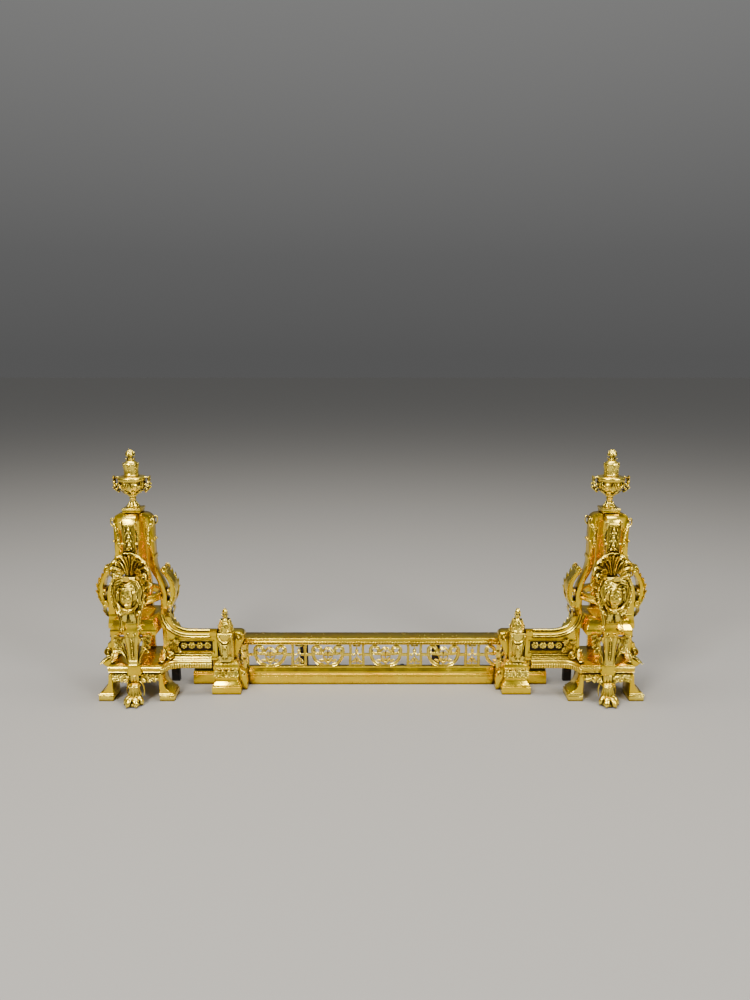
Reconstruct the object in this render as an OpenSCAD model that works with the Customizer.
// Pair of gilt andirons joined by a sliding pierced fender bar.
// Millimetres. X runs along the bar, Y away from the front, Z up; the floor is Z = 0.
// Each andiron is drawn in its own local frame: origin on the floor below the axis of
// its tower, +x towards the bar, +y to the back. The right one is the mirror image.

/* [Layout] */
// Length of the frieze hidden behind each pier
frieze_cover = 57; // [54:1:62]
// Tower axis to the front of the lion's toes
front_reach = 84; // [80:1:88]
// Tower axis to the front face of the bar
bar_front = 23; // [23:1:30]
// Running clearance all round the bar in its guides
guide_gap = 0.5; // [0.3:0.1:1]

/* [Heights of the andiron] */
// Floor to the underside of the platform
foot_h = 53; // [48:1:60]
// Thickness of the moulded platform
platform_h = 18; // [16:1:24]
// Clear height of the legs between platform and cornice
leg_h = 60; // [52:1:75]
// Height of the cornice
cornice_h = 28; // [24:1:34]
// Height of the scrolled consoles, from cornice to collar
console_h = 113; // [106:1:130]
// Height of the upright ribs, from collar to crown plate
rib_h = 83; // [70:1:100]
// Thickness of the crown plate under the urn
crown_t = 6; // [4:1:10]

/* [Plan of the andiron] */
// Half width of the platform
platform_r = 51; // [49:1:60]
// Width of the four arms of the tower
arm_w = 23.5; // [18:0.5:26]
// Tower axis to the outside of the arms where they stand on the cornice
post_r = 56; // [54:1:62]
// Thickness of the arms measured outwards
arm_t = 12; // [9:1:14]
// Tower axis to the outside of the upright ribs
rib_r = 36; // [32:1:40]
// Reach of the leaf scroll beyond the foot of the arm
scroll_reach = 16; // [10:1:22]
// Half width of the square part of the cornice
cornice_r = 43; // [38:1:50]
// Thickness of the legs between platform and cornice
leg_t = 9; // [7:1:12]
// Width of each foot block on the floor
foot_w = 27.5; // [22:0.5:34]
// Depth of the feet from front to back
foot_d = 40; // [30:1:50]

/* [Lion paw and mask] */
// Width of the paw across the toes
paw_w = 42; // [36:1:50]
// Diameter of the ankle
ankle_d = 18.5; // [15:0.5:24]
// Width of the head with its hair
head_w = 61; // [52:1:68]
// Height of the middle of the face above the cornice
face_up = 54; // [50:1:60]
// Radius of the shell crest
shell_r = 34; // [28:1:38]

/* [Urn] */
// Width of the square plinth under the urn
plinth_w = 34; // [31:1:38]
// Diameter of the bowl at its rim
rim_d = 51; // [44:1:58]
// Height of the foot and stem, from the crown plate to the bowl
urn_foot_h = 29; // [25:1:36]
// Height of the bowl
bowl_h = 34; // [30:1:40]
// Height of the lid with its bud
lid_h = 49; // [44:1:58]
// Width across both handles
handles_w = 70; // [64:1:78]
// Diameter of the tie rod through the urn
rod_d = 5; // [4:0.5:6]
// Clearance of the tie rod in its holes
rod_gap = 0.2; // [0.1:0.1:0.5]

/* [Wing and end pedestal] */
// Tower axis to the middle of the end pedestal
pedestal_x = 164.5; // [155:0.5:185]
// Width of the pedestal's plinth
pedestal_w = 55.5; // [50:0.5:62]
// Front of the pedestal's plinth, forward of the tower axis
pedestal_front = 23; // [22:1:30]
// Width of the pedestal's tapered shaft at the top
gaine_w = 28; // [24:1:32]
// Height of the pedestal without its flame
pedestal_h = 146; // [140:1:160]
// Height of the flame finial
flame_h = 26; // [20:1:32]
// Height of the wing's straight top rail
rail_z = 130; // [124:1:134]
// Thickness of the wing
wing_t = 10; // [8:1:12]
// Length of the slot that holds the rosettes
slot_l = 67; // [50:1:69]
// Height of the slot
slot_h = 20; // [16:1:24]
// Number of rosettes in the slot
rosettes = 4; // [3:1:5]

/* [Bar] */
// Length of the bar's moulded and pierced part
frieze_l = 600; // [580:1:640]
// Length of each plain tongue
tongue_l = 50.5; // [46:0.5:54]
// Depth of the bar
bar_d = 34; // [32:1:36]
// Height of the bar
bar_h = 96.5; // [94:0.5:98]
// Height of the base plate and tongues
tongue_h = 26; // [24:1:28]
// Top of the lower moulding, where the frieze stands
frieze_z = 36; // [34:1:38]
// Height of the pierced frieze
frieze_h = 45.5; // [44:0.5:48]
// Thickness of the frieze
frieze_t = 4; // [3:0.5:5]
// Medallions along the frieze, the last ones cut off by its ends
repeats = 5.24; // [5.1:0.02:5.4]
// Shift of the frieze pattern along the bar
pattern_shift = 31; // [25:1:37]

/* [Ironwork] */
// Thickness of the iron straps
strap_t = 3; // [2:0.5:4]
// Width of the iron slide strip
slide_w = 12; // [10:1:16]
// Thickness of the iron slide strip
slide_t = 6; // [5:0.5:8]
// Width of the two stays behind the frieze
stay_w = 16; // [12:1:20]
// Middle of the bar to each stay
stay_x = 131; // [120:1:150]
// End of the tongue to the first screw
screw_inset = 30; // [25:1:35]
// Width of the guide on the pier
guide_w = 30; // [20:1:36]

/* [Hidden] */

$fn = 48;
GOLD = "#d9b23c";
PALE_GOLD = "#ead27a";
IRON = "#1c1a19";

// Stacked heights
z_deck = foot_h + platform_h;
z_cornice = z_deck + leg_h;
z_tower = z_cornice + cornice_h;
z_collar = z_tower + console_h;
z_crown = z_collar + rib_h;
z_urn = z_crown + crown_t;
z_bowl = z_urn + urn_foot_h;
z_lid = z_bowl + bowl_h;

// Depths from the tower axis
bar_back = bar_front + bar_d;
guide_back = bar_back + guide_gap + strap_t;
back_reach = max(guide_back, post_r + 2);
axis_y = (front_reach - back_reach) / 2;
bar_centre = -3;
bar_l = frieze_l + 2 * tongue_l;
pitch = frieze_l / repeats;
frieze_y = bar_front + 6;

// Places shared by neighbouring pieces
post_in = post_r - arm_t;
arm_reach = post_r + 2;
leg_out = post_r - 2;
arm_half = arm_w / 2;
leg_half = arm_half + 1.25;
side_reach = max(leg_out + 1, platform_r + 4);
hub_half = arm_half + 0.25;
hub_z = z_crown - 14;
seat_z = z_tower + 85;
ring_z = z_tower + 30;
ring_h = 14;
face_z = z_tower + face_up;
flower_z = seat_z + shell_r + 21;
flower_step = 15.5;
toe_r = 6;
paw_y = -front_reach + 23;
paw_strip_half = 8;
gaine_foot_z = z_deck + 3;
gaine_y = -(platform_r + 6);
gaine_d = 12;
wing_y = -20;
wing_back = wing_y + wing_t;
ledge_z = foot_h + 3;
ledge_front = wing_y - 6;
wing_end = pedestal_x - gaine_w / 2 - 0.5;
ledge_end = pedestal_x - pedestal_w / 2 + 2;
pier_y = -1;
pier_back = bar_front - guide_gap;
pier_in = pedestal_x + 36.5;
tower_x = frieze_l / 2 + pier_in - frieze_cover;
pedestal_cap_z = pedestal_h - 22;
slot_x = wing_end - 9 - slot_l;
slot_z = z_deck + 26;
guide_x = pedestal_x - 14;
guide_z = bar_h + guide_gap;
rod_hole = rod_d + 2 * rod_gap;
screw_r = 2;

// Cubic curve through four control points, n steps
function curve(p, n = 8) = [for (i = [0:n]) let (t = i / n, s = 1 - t)
    s * s * s * p[0] + 3 * s * s * t * p[1] + 3 * s * t * t * p[2] + t * t * t * p[3]];

// Points along a spiral round c, from radius r0 at angle a0 to radius r1 at angle a1
function spiral(c, r0, r1, a0, a1, n = 10) = [for (i = [0:n])
    let (t = i / n, r = r0 + (r1 - r0) * t, a = a0 + (a1 - a0) * t)
    c + r * [cos(a), sin(a)]];

// Sideways unit vector of a path at point i
function side_of(path, i) =
    let (a = path[max(i - 1, 0)], b = path[min(i + 1, len(path) - 1)], d = (b - a) / norm(b - a))
    [-d[1], d[0]];

// Outline of a band that follows a path and tapers from width w0 to width w1
function band(path, w0, w1) = let (n = len(path) - 1) concat(
    [for (i = [0:n]) path[i] + side_of(path, i) * (w0 + (w1 - w0) * i / n) / 2],
    [for (i = [n:-1:0]) path[i] - side_of(path, i) * (w0 + (w1 - w0) * i / n) / 2]);

// Twice the signed area inside a closed outline: positive when it runs anticlockwise
function turn_of(p, i = 0) = i == len(p) ? 0
    : cross(p[i], p[(i + 1) % len(p)]) + turn_of(p, i + 1);

// Closed outline, always filled anticlockwise so that overlapping outlines merge
module outline(p) {
    polygon(turn_of(p) > 0 ? p : [for (i = [len(p) - 1:-1:0]) p[i]]);
}

// Outline drawn in x and z, given a thickness from y0 to y1
module upright(y0, y1) {
    translate([0, y1, 0]) rotate([90, 0, 0]) linear_extrude(y1 - y0) children();
}

// Outline drawn in y and z, given a length from x0 to x1
module lengthwise(x0, x1) {
    translate([x0, 0, 0]) rotate([90, 0, 90]) linear_extrude(x1 - x0) children();
}

module box(x0, x1, y0, y1, z0, z1) {
    translate([x0, y0, z0]) cube([x1 - x0, y1 - y0, z1 - z0]);
}

// Rectangular block whose four sides follow a moulding; steps lists [offset, height]
module moulded_block(half_x, half_y, steps) {
    reach = 4 * (half_x + half_y);
    intersection() {
        rotate([90, 0, 0]) linear_extrude(reach, center = true) both_sides(half_x, steps);
        rotate([90, 0, 90]) linear_extrude(reach, center = true) both_sides(half_y, steps);
    }
}

module both_sides(half, steps) {
    polygon(concat([for (s = steps) [half + s[0], s[1]]],
                   [for (i = [len(steps) - 1:-1:0]) [-half - steps[i][0], steps[i][1]]]));
}

module each_side() {
    children();
    mirror([1, 0, 0]) children();
}

// ---------------------------------------------------------------- andiron, local frame

module platform() color(GOLD) {
    h = platform_h;
    translate([0, 0, foot_h]) {
        moulded_block(platform_r, platform_r,
            [[-4, 0], [-4, 3], [-1.5, 5], [0, h - 9], [0, h - 4], [-1.5, h - 2], [-1.5, h]]);
        box(-14, 14, gaine_y + 3, -platform_r + 6, 4, 8);
        box(-12, 12, gaine_y + 3, -platform_r + 6, 0, h + 3);
        box(platform_r - 3, side_reach, wing_back, leg_half + 2, 0, h);
        box(-side_reach, 3 - platform_r, -leg_half - 2, leg_half + 2, 0, h);
    }
}

module feet() color(GOLD) {
    inner = platform_r - 7;
    outer = inner + foot_w;
    each_side() upright(-platform_r + 1, -platform_r + 1 + foot_d)
        outline(concat([[inner, foot_h], [inner, 0], [outer, 0], [outer, 12], [outer - 2.5, 12],
            [outer - 2.5, 16]], curve([[outer - 4, 16], [outer - 9, 18], [inner + 12, 24],
            [inner + 10, 30]], 6), curve([[inner + 9, 32], [inner + 7.5, 38],
            [inner + 7, 45], [inner + 7, foot_h]], 4)));
}

module lion_paw() color(PALE_GOLD) {
    half = paw_w / 2;
    toe_y = -front_reach + toe_r;
    difference() {
        union() {
            box(-paw_strip_half, paw_strip_half, gaine_y + 3, gaine_y + 13, 30, foot_h);
            translate([0, paw_y, 0]) rotate_extrude() outline(concat([[0, 0], [half - 5, 0],
                [half - 3, 6]], curve([[half - 5, 12], [ankle_d / 2 + 2, 15],
                [ankle_d / 2, 19], [ankle_d / 2, 26]], 6), [[ankle_d / 2 + 2, 28],
                [ankle_d / 2 + 2, 32], [ankle_d / 2 - 1, 34], [ankle_d / 2 - 1, 38], [0, 38]]));
            for (side = [-1, 1], step = [0.33, 1])
                toe([side * step * (half - toe_r), toe_y + 5 * (step - 0.33), toe_r - 0.5]);
        }
        box(-paw_w, paw_w, -2 * front_reach, 0, -20, 0);
    }
}

// One toe reaching from the middle of the paw to its round tip
module toe(tip) {
    root = [tip[0] * 0.5, paw_y, toe_r + 4];
    run = tip - root;
    l = norm(run);
    translate(root) rotate([0, acos(run[2] / l), atan2(run[1], run[0])])
        rotate_extrude($fn = 24) outline([[0, 0], [toe_r - 1, 0], [toe_r, l], [toe_r - 0.8, l + 3],
            [toe_r - 2.6, l + 5.2], [0, l + toe_r]]);
}

module leaf_apron() color(PALE_GOLD) {
    x0 = paw_strip_half + 0.5;
    x1 = platform_r - 7;
    each_side() upright(-platform_r + 1, -platform_r + 5)
        outline(concat([[x0, foot_h], [x0, foot_h - 19], [x0 + 3, foot_h - 18]],
            curve([[x0 + 4, foot_h - 12], [x0 + 9, foot_h - 7], [x1 - 16, foot_h - 5],
            [x1 - 7, foot_h - 8]], 8), [[x1 - 3, foot_h - 12], [x1, foot_h - 12], [x1, foot_h]]));
}

module iron_frame() color(IRON) {
    post_y = platform_r - 11;
    each_side() box(platform_r - 8, platform_r + 8, post_y, post_y + 10, 0, foot_h);
    box(8 - platform_r, platform_r - 8, post_y, post_y + 10, foot_h - 12, foot_h);
    box(leg_out + 4, wing_end, wing_back, wing_back + strap_t,
        slot_z - slot_h / 2 - 7, slot_z + slot_h / 2 + 7);
}

module front_gaine() color(PALE_GOLD) {
    top = z_cornice;
    neck = top - 13;
    difference() {
        union() {
            upright(gaine_y, gaine_y + gaine_d) {
                outline([[-7, gaine_foot_z], [7, gaine_foot_z], [11.5, neck], [13.5, neck + 3],
                         [13.5, top], [-13.5, top], [-13.5, neck + 3], [-11.5, neck]]);
                for (side = [-1, 1]) translate([side * 12, neck + 5]) circle(5);
            }
            each_side() upright(gaine_y + 4, gaine_y + gaine_d) {
                outline(band(concat(curve([[31, top - 3], [24, top - 4], [19, top - 12],
                    [18.5, top - 24]], 6), curve([[18, top - 28], [14, top - 34],
                    [11, gaine_foot_z + 12], [9.5, gaine_foot_z]], 6)), 6, 3));
                translate([21, top - 22]) circle(3.6);
                translate([29, top - 5]) circle(4.5);
                translate([10, top - 8]) square([16, 5]);
            }
        }
        upright(gaine_y - 1, gaine_y + 1.6) translate([-3, gaine_foot_z + 8])
            square([6, leg_h - 21]);
    }
    for (z = [gaine_foot_z + 10:4:top - 14]) translate([0, gaine_y + 2, z]) sphere(1.6, $fn = 24);
}

module legs() color(GOLD) {
    each_side() box(leg_out - leg_t, leg_out, -leg_half, leg_half, z_deck, z_cornice);
    box(-leg_half, leg_half, leg_out - leg_t - 4, leg_out - 4, z_deck, z_cornice);
}

function cornice_steps(share) = [for (s = [[0, 0], [0, 9], [-1, 11], [-3, 16], [-5, 20],
    [-6, 22], [-6, cornice_h]]) [share * s[0], s[1]]];

module cornice() color(GOLD) translate([0, 0, z_cornice]) difference() {
    union() {
        moulded_block(cornice_r, cornice_r + 5, cornice_steps(1));
        moulded_block(arm_reach, leg_half + 0.5, cornice_steps(0.3));
        moulded_block(leg_half + 0.5, arm_reach, cornice_steps(0.3));
    }
    box(-24, 24, -24, 24, -1, cornice_h + 1);
}

// Arm of the tower in radius and height: upright rib above, swept console below
function rib_points() = let (t = arm_t) concat(
    curve([[rib_r, z_crown - 20], [rib_r, z_crown - 8], [rib_r - 6, z_crown],
        [rib_r - 16, z_crown]], 6),
    [[hub_half, z_crown], [hub_half, hub_z]],
    curve([[hub_half + 3, hub_z], [rib_r - t - 3, hub_z], [rib_r - t, hub_z - 5],
        [rib_r - t, hub_z - 12]], 4));

function inner_sweep() = curve([[rib_r - arm_t, z_collar], [rib_r - arm_t, z_collar - 34],
    [post_in, z_tower + 72], [post_in, z_tower + 46]], 8);

function outer_sweep() = curve([[post_r, z_tower + 36], [post_r, z_tower + 60],
    [rib_r, z_collar - 36], [rib_r, z_collar - 6]], 8);

module arm() upright(-arm_half, arm_half)
    outline(concat([[post_in, z_tower], [post_r, z_tower]], outer_sweep(), rib_points(),
        inner_sweep()));

module arm_trim() {
    difference() {
        box(rib_r - 2, rib_r + 1.8, -arm_half, arm_half, z_collar - 5, z_collar + 2);
        box(0, rib_r - 0.5, -arm_half, arm_half, z_collar - 6, z_collar + 3);
    }
    translate([rib_r, 0, z_collar + 31]) sphere(3, $fn = 24);
}

// Acanthus scroll on the outside of an arm
module leaf_scroll() {
    tip = post_r + scroll_reach;
    upright(-arm_half - 1, arm_half + 1) difference() {
        union() {
            outline(band(concat(curve([[post_r - 4, z_collar - 26], [post_r + 2, z_collar - 38],
                [tip - 3, z_collar - 46], [tip - 4, z_tower + 46]], 8),
                curve([[tip - 4, z_tower + 42], [tip - 4, z_tower + 30],
                [post_r + 8, z_tower + 18], [post_r + 3, z_tower + 17]], 6)), 8, 8));
            translate([post_r - 3, z_collar - 26]) circle(5.5);
            translate([post_r + 4, z_tower + 20]) circle(7);
            translate([post_r + 2, z_tower + 44]) square([8, 6]);
        }
        outline(concat([[0, z_tower], [post_r, z_tower]], outer_sweep(), [[0, z_collar]]));
    }
}

module arm_consoles() color(GOLD) {
    for (turn = [0, 90, 180]) rotate([0, 0, turn]) {
        arm();
        arm_trim();
    }
    each_side() leaf_scroll();
}

module front_console() color(PALE_GOLD) {
    rotate([0, 0, -90]) difference() {
        upright(-arm_half, arm_half)
            outline(concat([[post_in, z_tower], [post_r, z_tower], [post_r, seat_z - 4],
                [post_r - 4, seat_z], [rib_r, seat_z]], rib_points(), inner_sweep()));
        box(rib_r - 2, rib_r + 1, -7.5, 7.5, z_collar + 6, z_crown - 20);
    }
    for (i = [0:2]) translate([0, -rib_r + 1.5, flower_z + flower_step * i]) bellflower();
    translate([0, -rib_r + 0.5, z_crown - 16]) rotate([0, 90, 0])
        cylinder(2 * arm_half - 2, 2.2, 2.2, center = true);
}

module bellflower() {
    sphere(3.2, $fn = 24);
    translate([0, 0.4, -7]) cylinder(5, 3.4, 1.6);
    translate([0, 0.4, -10]) cylinder(3.2, 1, 1);
}

module ring_collar() color(GOLD) difference() {
    translate([0, 0, ring_z]) rotate_extrude($fn = 96)
        outline([[post_in - 6, 0], [post_r - 8, 0], [post_r - 6, 2], [post_r - 6, 5],
            [post_r - 9, 7], [post_r - 9, 9], [post_r - 7, 11], [post_r - 7, ring_h],
            [post_in - 6, ring_h]]);
    for (turn = [0:90:270]) rotate([0, 0, turn])
        box(post_in, post_r + 9, -arm_half, arm_half, ring_z - 1, ring_z + ring_h + 1);
}

module mask() color(PALE_GOLD) difference() {
    union() {
        translate([0, -post_r, face_z]) rotate([90, 0, 0]) rotate_extrude()
            outline([[0, 0], [head_w / 2 - 3, 0], [head_w / 2, 3], [head_w / 2 - 1, 7],
                [head_w / 2 - 6, 10], [head_w / 2 - 14, 12], [0, 12]]);
        translate([0, -post_r - 4, face_z]) rotate_extrude()
            outline([[0, -22], [6, -21], [11, -17], [14.5, -10], [16, 0], [16, 7], [13.5, 15],
                [8, 20], [0, 22]]);
        translate([-22, -post_r - 6, face_z - 28]) rotate([0, 90, 0]) rotate_extrude()
            outline([[0, 0], [3, 0], [5.5, 4], [5.5, 40], [3, 44], [0, 44]]);
    }
    box(-head_w, head_w, -post_r, 0, 0, z_crown);
}

module shell_crest() color(PALE_GOLD) upright(-rib_r - 8, -rib_r) intersection() {
    hinge = [0, seat_z + 8];
    union() {
        for (a = [-10:20:190]) translate(hinge + (shell_r - 4) * [cos(a), sin(a)])
            circle(6.4, $fn = 24);
        translate(hinge) circle(shell_r - 4);
    }
    translate([-2 * shell_r, seat_z]) square([4 * shell_r, 2 * shell_r + 20]);
}

module crown_plate() color(GOLD) difference() {
    union() {
        translate([0, 0, z_crown]) moulded_block(plinth_w / 2 - 1, plinth_w / 2 - 1,
            [[-2, 0], [0, 2], [0, crown_t]]);
        box(-hub_half, hub_half, -hub_half, hub_half, hub_z, z_crown + 1);
    }
    translate([0, 0, hub_z - 1]) cylinder(crown_t + 20, rod_hole / 2, rod_hole / 2);
}

module urn_foot() color(PALE_GOLD) translate([0, 0, z_urn]) difference() {
    union() {
        box(-plinth_w / 2, plinth_w / 2, -plinth_w / 2, plinth_w / 2, 0, 4);
        rotate_extrude() outline(concat([[0, 3], [12.5, 3], [12.5, 6]],
            curve([[11, 8], [7, 9], [5, 11], [4.6, 15]], 6), [[4.6, 18], [6, 21], [8.5, 23],
            [8.5, 26], [6, 27.5], [6, urn_foot_h], [0, urn_foot_h]]));
    }
    translate([0, 0, -1]) cylinder(urn_foot_h + 2, rod_hole / 2, rod_hole / 2);
}

module bowl_solid() translate([0, 0, z_bowl]) rotate_extrude() let (r = rim_d / 2, h = bowl_h)
    outline(concat([[0, 0], [7, 0]], curve([[9, 2], [16, 3], [r - 6, 8], [r - 4, 18]], 8),
        [[r - 3, h - 9], [r, h - 7], [r, h - 2], [r - 3, h], [0, h]]));

module urn_bowl() color(PALE_GOLD) difference() {
    bowl_solid();
    translate([0, 0, z_bowl - 1]) cylinder(bowl_h + 2, rod_hole / 2, rod_hole / 2);
}

module urn_handles() color(PALE_GOLD) each_side() difference() {
    upright(-4, 4) {
        outline(band(concat(curve([[rim_d / 2 - 6, z_bowl + 29], [rim_d / 2 + 4, z_bowl + 34],
            [handles_w / 2 - 1.5, z_bowl + 32], [handles_w / 2 - 2, z_bowl + 24]], 6),
            curve([[handles_w / 2 - 2.5, z_bowl + 19], [handles_w / 2 - 4, z_bowl + 10],
            [rim_d / 2, z_bowl + 4], [rim_d / 2 - 9, z_bowl + 8]], 6)), 4, 4));
        translate([handles_w / 2 - 4, z_bowl + 20]) circle(4);
    }
    bowl_solid();
}

module urn_lid() color(PALE_GOLD) translate([0, 0, z_lid]) difference() {
    rotate_extrude() let (h = lid_h) outline(concat([[0, 0], [15, 0], [15, 2]],
        curve([[13, 4], [11, 10], [14, 15], [13, 20]], 8),
        curve([[12, 24], [6, 26], [4.5, 28], [4.5, 33]], 5),
        curve([[5, h - 14], [10, h - 12], [10, h - 6], [0, h]], 8)));
    translate([0, 0, -1]) cylinder(29, rod_hole / 2, rod_hole / 2);
}

module tie_rod() color(IRON) {
    translate([0, 0, hub_z - 6]) cylinder(z_lid + 26 - hub_z, rod_d / 2, rod_d / 2);
    translate([0, 0, hub_z - 4]) cylinder(4, rod_d, rod_d, $fn = 6);
}

// Top edge of the wing, from the cornice down to the straight rail
function wing_top() = curve([[arm_reach + 1, z_tower + 6], [arm_reach + 4, rail_z + 14],
    [arm_reach + 16, rail_z], [arm_reach + 44, rail_z]], 12);

module wing_panel() color(GOLD) {
    difference() {
        union() {
            upright(wing_y, wing_back) outline(concat([[wing_end, z_deck], [wing_end, rail_z]],
                [for (i = [12:-1:0]) wing_top()[i]],
                [[arm_reach, z_tower + 6], [arm_reach, z_cornice], [leg_out, z_cornice],
                [leg_out, z_deck]]));
            upright(wing_y - 4, wing_y + 1) outline(concat(
                band([for (p = wing_top()) p - [0, 6]], 9, 9)));
            upright(wing_y - 4, wing_y + 1) translate([arm_reach + 44, rail_z - 10.5])
                square([wing_end - arm_reach - 44, 9]);
            upright(wing_y - 3, wing_y + 1) translate([leg_out, z_deck])
                square([wing_end - leg_out, 4]);
        }
        upright(wing_y - 9, wing_y + 3) translate([slot_x - 4, slot_z - slot_h / 2 - 4])
            square([slot_l + 8, slot_h + 8]);
        upright(wing_y - 9, wing_back + 9) translate([slot_x, slot_z - slot_h / 2])
            square([slot_l, slot_h]);
    }
    upright(wing_y - 5, wing_y + 1) translate([leg_out + 7, z_deck + 11]) circle(7);
    translate([0, 0, ledge_z]) linear_extrude(z_deck - ledge_z) outline(concat(
        [[platform_r, wing_back], [platform_r, -platform_r]],
        curve([[platform_r, -platform_r], [platform_r + 4, -platform_r + 12],
            [platform_r + 12, ledge_front], [platform_r + 26, ledge_front]], 8),
        [[ledge_end, ledge_front], [ledge_end, wing_back]]));
}

module wing_rosettes() color(PALE_GOLD) {
    step = (slot_l - 6) / rosettes;
    for (i = [0:rosettes - 1])
        translate([slot_x + 3 + step * (i + 0.5), wing_back, slot_z]) rotate([90, 0, 0]) {
            cylinder(5, step / 2 - 0.7, step / 2 - 0.7);
            cylinder(8, 3, 3);
        }
}

module outer_bracket() color(GOLD) mirror([1, 0, 0]) upright(-9, 9) {
    boss = [leg_out + 8.5, z_deck + 11];
    translate(boss) circle(8.5);
    translate([leg_out, z_deck]) square([9, 28]);
    outline(concat([[leg_out, z_deck + 38], [leg_out, z_deck + 20]], [boss + [2, 6]],
        curve([boss + [-2, 10], boss + [-5, 16], [leg_out + 3, z_deck + 30],
        [leg_out + 2, z_deck + 38]], 5)));
    outline(concat([[side_reach, z_deck + 4], [side_reach + 4, z_deck + 4]],
        curve([[side_reach + 4, z_deck - 1], [side_reach + 9, z_deck - 8],
        [side_reach + 17, z_deck - 6], [side_reach + 23, z_deck - 10]], 6),
        [[side_reach + 16, z_deck - 18]], curve([[side_reach + 11, z_deck - 20],
        [side_reach + 5, z_deck - 20], [side_reach + 2, z_deck - 16],
        [side_reach, z_deck - 14]], 4)));
}

function pedestal_steps() = concat([[0, 0], [0, 15], [-2, 15], [-2, 18]],
    curve([[-3, 18], [-4, 22], [-7, 22], [-7.5, 28]], 5), [[-6, 29], [-6, 33], [-7.5, 36],
    [-6, 47], [-4.7, 48]], curve([[-3.5, 50], [-2.5, 56], [-4, 61], [-8, 64]], 5),
    [[-8, 66]]);

module pedestal_base() color(GOLD) intersection() {
    translate([pedestal_x, pier_y, 0])
        moulded_block(pedestal_w / 2, pedestal_front + pier_y, pedestal_steps());
    box(0, 2 * pedestal_x, -2 * pedestal_front, pier_y, 0, pedestal_h);
}

module pedestal_gaine() color(PALE_GOLD) {
    front = -pedestal_front + 2;
    upright(front + 7, pier_y) translate([pedestal_x, 0])
        outline([[-gaine_w / 2 - 0.5, 66], [gaine_w / 2 + 0.5, 66],
            [gaine_w / 2 + 0.5, pedestal_cap_z], [-gaine_w / 2 - 0.5, pedestal_cap_z]]);
    upright(front, front + 8) translate([pedestal_x, 0])
        outline([[-9, 66], [9, 66], [9, 70], [7, 76], [gaine_w / 2 - 3, pedestal_cap_z - 10],
            [gaine_w / 2, pedestal_cap_z - 6], [gaine_w / 2, pedestal_cap_z],
            [-gaine_w / 2, pedestal_cap_z], [-gaine_w / 2, pedestal_cap_z - 6],
            [3 - gaine_w / 2, pedestal_cap_z - 10], [-7, 76], [-9, 70]]);
}

module pedestal_finial() color(PALE_GOLD)
    translate([pedestal_x, -pedestal_front + 2 + gaine_w / 2, pedestal_cap_z])
        rotate_extrude() let (r = gaine_w / 2, h = pedestal_h - pedestal_cap_z, f = flame_h)
            outline(concat([[0, 0], [r, 0], [r + 1, 3], [r, 6]],
                curve([[r, 9], [r + 0.5, 15], [r - 4, h - 2], [5, h]], 6), [[3.4, h + 4]],
                curve([[4, h + 8], [8, h + 10], [6, h + 17], [0, h + f]], 8)));

module pier() color(GOLD) upright(pier_y, pier_back) {
    outer = pedestal_x - pedestal_w / 2;
    waist = pedestal_x + gaine_w / 2 + 5;
    outline(concat([[outer, 0], [pier_in, 0], [pier_in, 20]],
        curve([[pier_in - 1, 26], [pier_in - 3, 40], [waist, 44], [waist, 58]], 8),
        curve([[waist, 64], [waist + 1, 84], [pier_in - 8, 90], [pier_in - 4, bar_h + 6]], 8),
        [[pier_in - 13, pedestal_cap_z - 5], [wing_end, pedestal_cap_z - 5], [wing_end, 66],
        [outer, 66]]));
    translate([pier_in - 13, pedestal_cap_z - 15]) circle(10);
    translate([pier_in - 6, 34]) circle(5);
}

module bar_guide() color(IRON) lengthwise(guide_x, guide_x + guide_w)
    outline([[pier_back, guide_z], [bar_back + guide_gap, guide_z],
        [bar_back + guide_gap, 10], [guide_back, 10], [guide_back, guide_z + strap_t],
        [pier_back + strap_t, guide_z + strap_t], [pier_back + strap_t, guide_z + 16],
        [pier_back, guide_z + 16]]);

// ---------------------------------------------------------------- bar, local frame

module bar_base() color(GOLD) difference() {
    union() {
        lengthwise(-bar_l / 2, bar_l / 2)
            outline([[bar_front + 1, 0], [bar_back, 0], [bar_back, tongue_h],
                [bar_front + 2.5, tongue_h], [bar_front + 2.5, 21], [bar_front + 1, 20]]);
        lengthwise(-frieze_l / 2, frieze_l / 2)
            outline(concat([[bar_front + 4, 0], [bar_front, 0], [bar_front, 17],
                [bar_front + 1.5, 17.6], [bar_front, 18.6], [bar_front, 21.6]],
                curve([[bar_front + 2, 22], [bar_front + 2, 29], [bar_front + 5, 31],
                [bar_front + 5, frieze_z - 1]], 6), [[bar_front + 5, frieze_z],
                [bar_front + 11, frieze_z], [bar_front + 11, tongue_h - 1],
                [bar_front + 4, tongue_h - 1]]));
    }
    box(-bar_l, bar_l, bar_front + 5, bar_back - 4, -1, 14);
    for (x = screw_places()) translate([x, slide_y(), 15]) cylinder(tongue_h, screw_r + 0.1, screw_r + 0.1);
}

function slide_y() = bar_front + 17;
function screw_places() = [for (i = [-2.5:1:2.5]) i * (bar_l - 2 * screw_inset) / 5];

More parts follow.
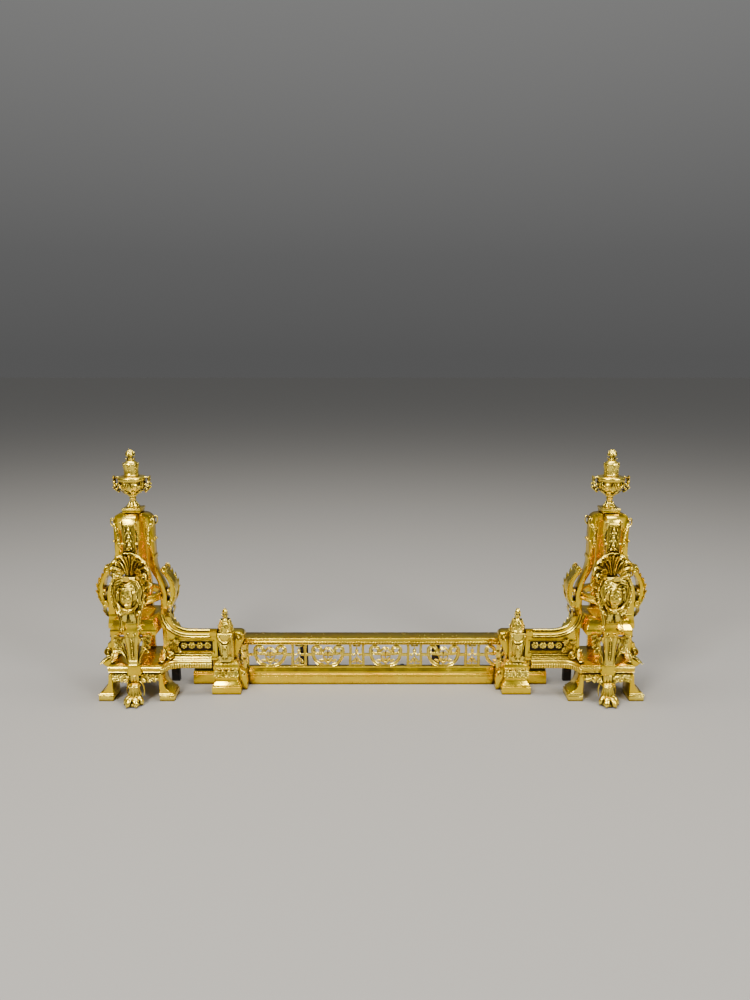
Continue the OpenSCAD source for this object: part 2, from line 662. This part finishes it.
// Half of one heart-shaped medallion, drawn round the middle of the frieze
module medallion_half() {
    top = frieze_h / 2;
    shoulder = [21.5, top - 12.6];
    outline(band(concat(spiral(shoulder, 8.2, 8.8, 225, -10, 9),
        curve([[29.6, 3], [28, -9], [21, -top + 4], [9, -top + 2.3]], 6)), 3.6, 4.8));
    outline(band(curve([[15.4, top - 17], [10, top - 19], [7, top - 7], [0, top - 6.4]], 5),
        3.6, 3.2));
    outline(band(curve([[29, 0], [22, 7], [16, -4], [1, 6]], 6), 2.8, 4.4));
    outline(band(curve([[9.5, -1], [7, -6], [5, -8], [3, -13]], 4), 2.4, 3.6));
    translate([0, -top]) square([2.2, top + 8]);
    translate([4.8, -13.5]) circle(4.6, $fn = 20);
    translate([16.6, top - 9.5]) circle(3, $fn = 16);
    translate([25.6, top - 17]) circle(3, $fn = 16);
    translate([0, -top]) square([11, 3.6]);
    translate([17.5, top - 5]) square([8, 5]);
}

module medallion() each_flip() medallion_half();

// Half of one small upright panel between two medallions
module small_panel_half() {
    top = frieze_h / 2;
    outline(band(curve([[12, -top], [14, -8], [10, 8], [12.5, top]], 6), 3.6, 3.6));
    outline(band(curve([[11.4, 5], [8, 0], [4, 2], [0, 6]], 4), 2.6, 3.2));
    outline(band(curve([[12, -top + 6], [8, -12], [4, -10], [0, -4]], 4), 3, 3.4));
    translate([0, -top]) square([13, 5.4]);
    translate([0, top - 5.4]) square([8, 5.4]);
    translate([0, -6]) square([1.6, top + 4]);
    translate([0, 10]) circle(4, $fn = 20);
}

module small_panel() each_flip() small_panel_half();

module each_flip() {
    children();
    mirror([1, 0]) children();
}

module bar_frieze() color(PALE_GOLD) {
    low = -frieze_l / 2;
    link_l = pitch / 2 - 39;
    link_x = pitch / 2 - 21.5;
    upright(frieze_y, frieze_y + frieze_t) translate([0, frieze_z + frieze_h / 2]) intersection() {
        translate([low, -frieze_h / 2]) square([frieze_l, frieze_h]);
        union() {
            for (i = [-2:2]) {
                translate([pattern_shift + pitch * i, 0]) medallion();
                translate([pattern_shift + pitch * (i - 0.5), 0]) small_panel();
            }
            for (i = [-2:2], side = [-1, 1])
                translate([pattern_shift + pitch * i + side * link_x - link_l / 2, -1])
                    square([link_l, 4.4]);
            translate([low, -frieze_h / 2]) square([6, frieze_h]);
            translate([low, -1]) square([pattern_shift - 2.5 * pitch - low - 10, 4.4]);
            translate([pattern_shift + 2 * pitch + 28, -1])
                square([frieze_l / 2 - pattern_shift - 2 * pitch - 28, 4.4]);
            translate([frieze_l / 2 - 6, -frieze_h / 2]) square([6, frieze_h]);
        }
    }
}

module bar_top_plate() color(GOLD) {
    under = frieze_z + frieze_h;
    lengthwise(-frieze_l / 2, frieze_l / 2) {
        outline([[frieze_y - 1, under], [bar_front + 13, under], [bar_front + 13, bar_h - 5],
            [bar_back, bar_h - 5], [bar_back, bar_h], [bar_front + 1, bar_h],
            [bar_front, bar_h - 1], [bar_front, bar_h - 4.5], [bar_front + 3.5, bar_h - 5]]);
        translate([bar_front + 3.6, bar_h - 8]) circle(3);
    }
}

module bar_slide_strip() color(IRON) difference() {
    box(-bar_l / 2, bar_l / 2, slide_y() - slide_w / 2, slide_y() + slide_w / 2,
        tongue_h, tongue_h + slide_t);
    for (x = screw_places()) translate([x, slide_y(), 0])
        cylinder(2 * tongue_h, screw_r + 0.3, screw_r + 0.3);
}

module bar_stays() color(IRON) {
    foot_y = slide_y() - slide_w / 2;
    foot_z = tongue_h + slide_t;
    stay_y = bar_front + 13.3;
    head_z = bar_h - 5;
    for (side = [-1, 1]) translate([side * stay_x, 0, 0])
        lengthwise(-stay_w / 2, stay_w / 2) {
            translate([foot_y, foot_z]) square([slide_w, strap_t]);
            translate([stay_y, foot_z]) square([strap_t, head_z - foot_z]);
            translate([stay_y, head_z - strap_t]) square([slide_w, strap_t]);
        }
}

module bar_screws() color(IRON) for (x = screw_places())
    translate([x, slide_y(), 0]) {
        translate([0, 0, 18]) cylinder(tongue_h + slide_t - 17, screw_r, screw_r);
        translate([0, 0, tongue_h + slide_t]) cylinder(3, 2 * screw_r, 2 * screw_r);
    }

// ---------------------------------------------------------------- places in the set

module left() translate([-tower_x, axis_y, 0]) children();

module right() translate([tower_x, axis_y, 0]) mirror([1, 0, 0]) children();

module middle() translate([bar_centre, axis_y, 0]) children();

middle() bar_base();
middle() bar_frieze();
middle() bar_top_plate();
middle() bar_slide_strip();
middle() bar_stays();
middle() bar_screws();
left() platform();  // left_platform
left() feet();  // left_feet
left() lion_paw();  // left_lion_paw
left() leaf_apron();  // left_leaf_apron
left() iron_frame();  // left_iron_frame
left() front_gaine();  // left_front_gaine
left() legs();  // left_legs
left() cornice();  // left_cornice
left() front_console();  // left_front_console
left() arm_consoles();  // left_arm_consoles
left() ring_collar();  // left_ring_collar
left() mask();  // left_mask
left() shell_crest();  // left_shell_crest
left() crown_plate();  // left_crown_plate
left() urn_foot();  // left_urn_foot
left() urn_bowl();  // left_urn_bowl
left() urn_handles();  // left_urn_handles
left() urn_lid();  // left_urn_lid
left() tie_rod();  // left_tie_rod
left() wing_panel();  // left_wing_panel
left() wing_rosettes();  // left_wing_rosettes
left() outer_bracket();  // left_outer_bracket
left() pedestal_base();  // left_pedestal_base
left() pedestal_gaine();  // left_pedestal_gaine
left() pedestal_finial();  // left_pedestal_finial
left() pier();  // left_pier
left() bar_guide();  // left_bar_guide
right() platform();  // right_platform
right() feet();  // right_feet
right() lion_paw();  // right_lion_paw
right() leaf_apron();  // right_leaf_apron
right() iron_frame();  // right_iron_frame
right() front_gaine();  // right_front_gaine
right() legs();  // right_legs
right() cornice();  // right_cornice
right() front_console();  // right_front_console
right() arm_consoles();  // right_arm_consoles
right() ring_collar();  // right_ring_collar
right() mask();  // right_mask
right() shell_crest();  // right_shell_crest
right() crown_plate();  // right_crown_plate
right() urn_foot();  // right_urn_foot
right() urn_bowl();  // right_urn_bowl
right() urn_handles();  // right_urn_handles
right() urn_lid();  // right_urn_lid
right() tie_rod();  // right_tie_rod
right() wing_panel();  // right_wing_panel
right() wing_rosettes();  // right_wing_rosettes
right() outer_bracket();  // right_outer_bracket
right() pedestal_base();  // right_pedestal_base
right() pedestal_gaine();  // right_pedestal_gaine
right() pedestal_finial();  // right_pedestal_finial
right() pier();  // right_pier
right() bar_guide();  // right_bar_guide
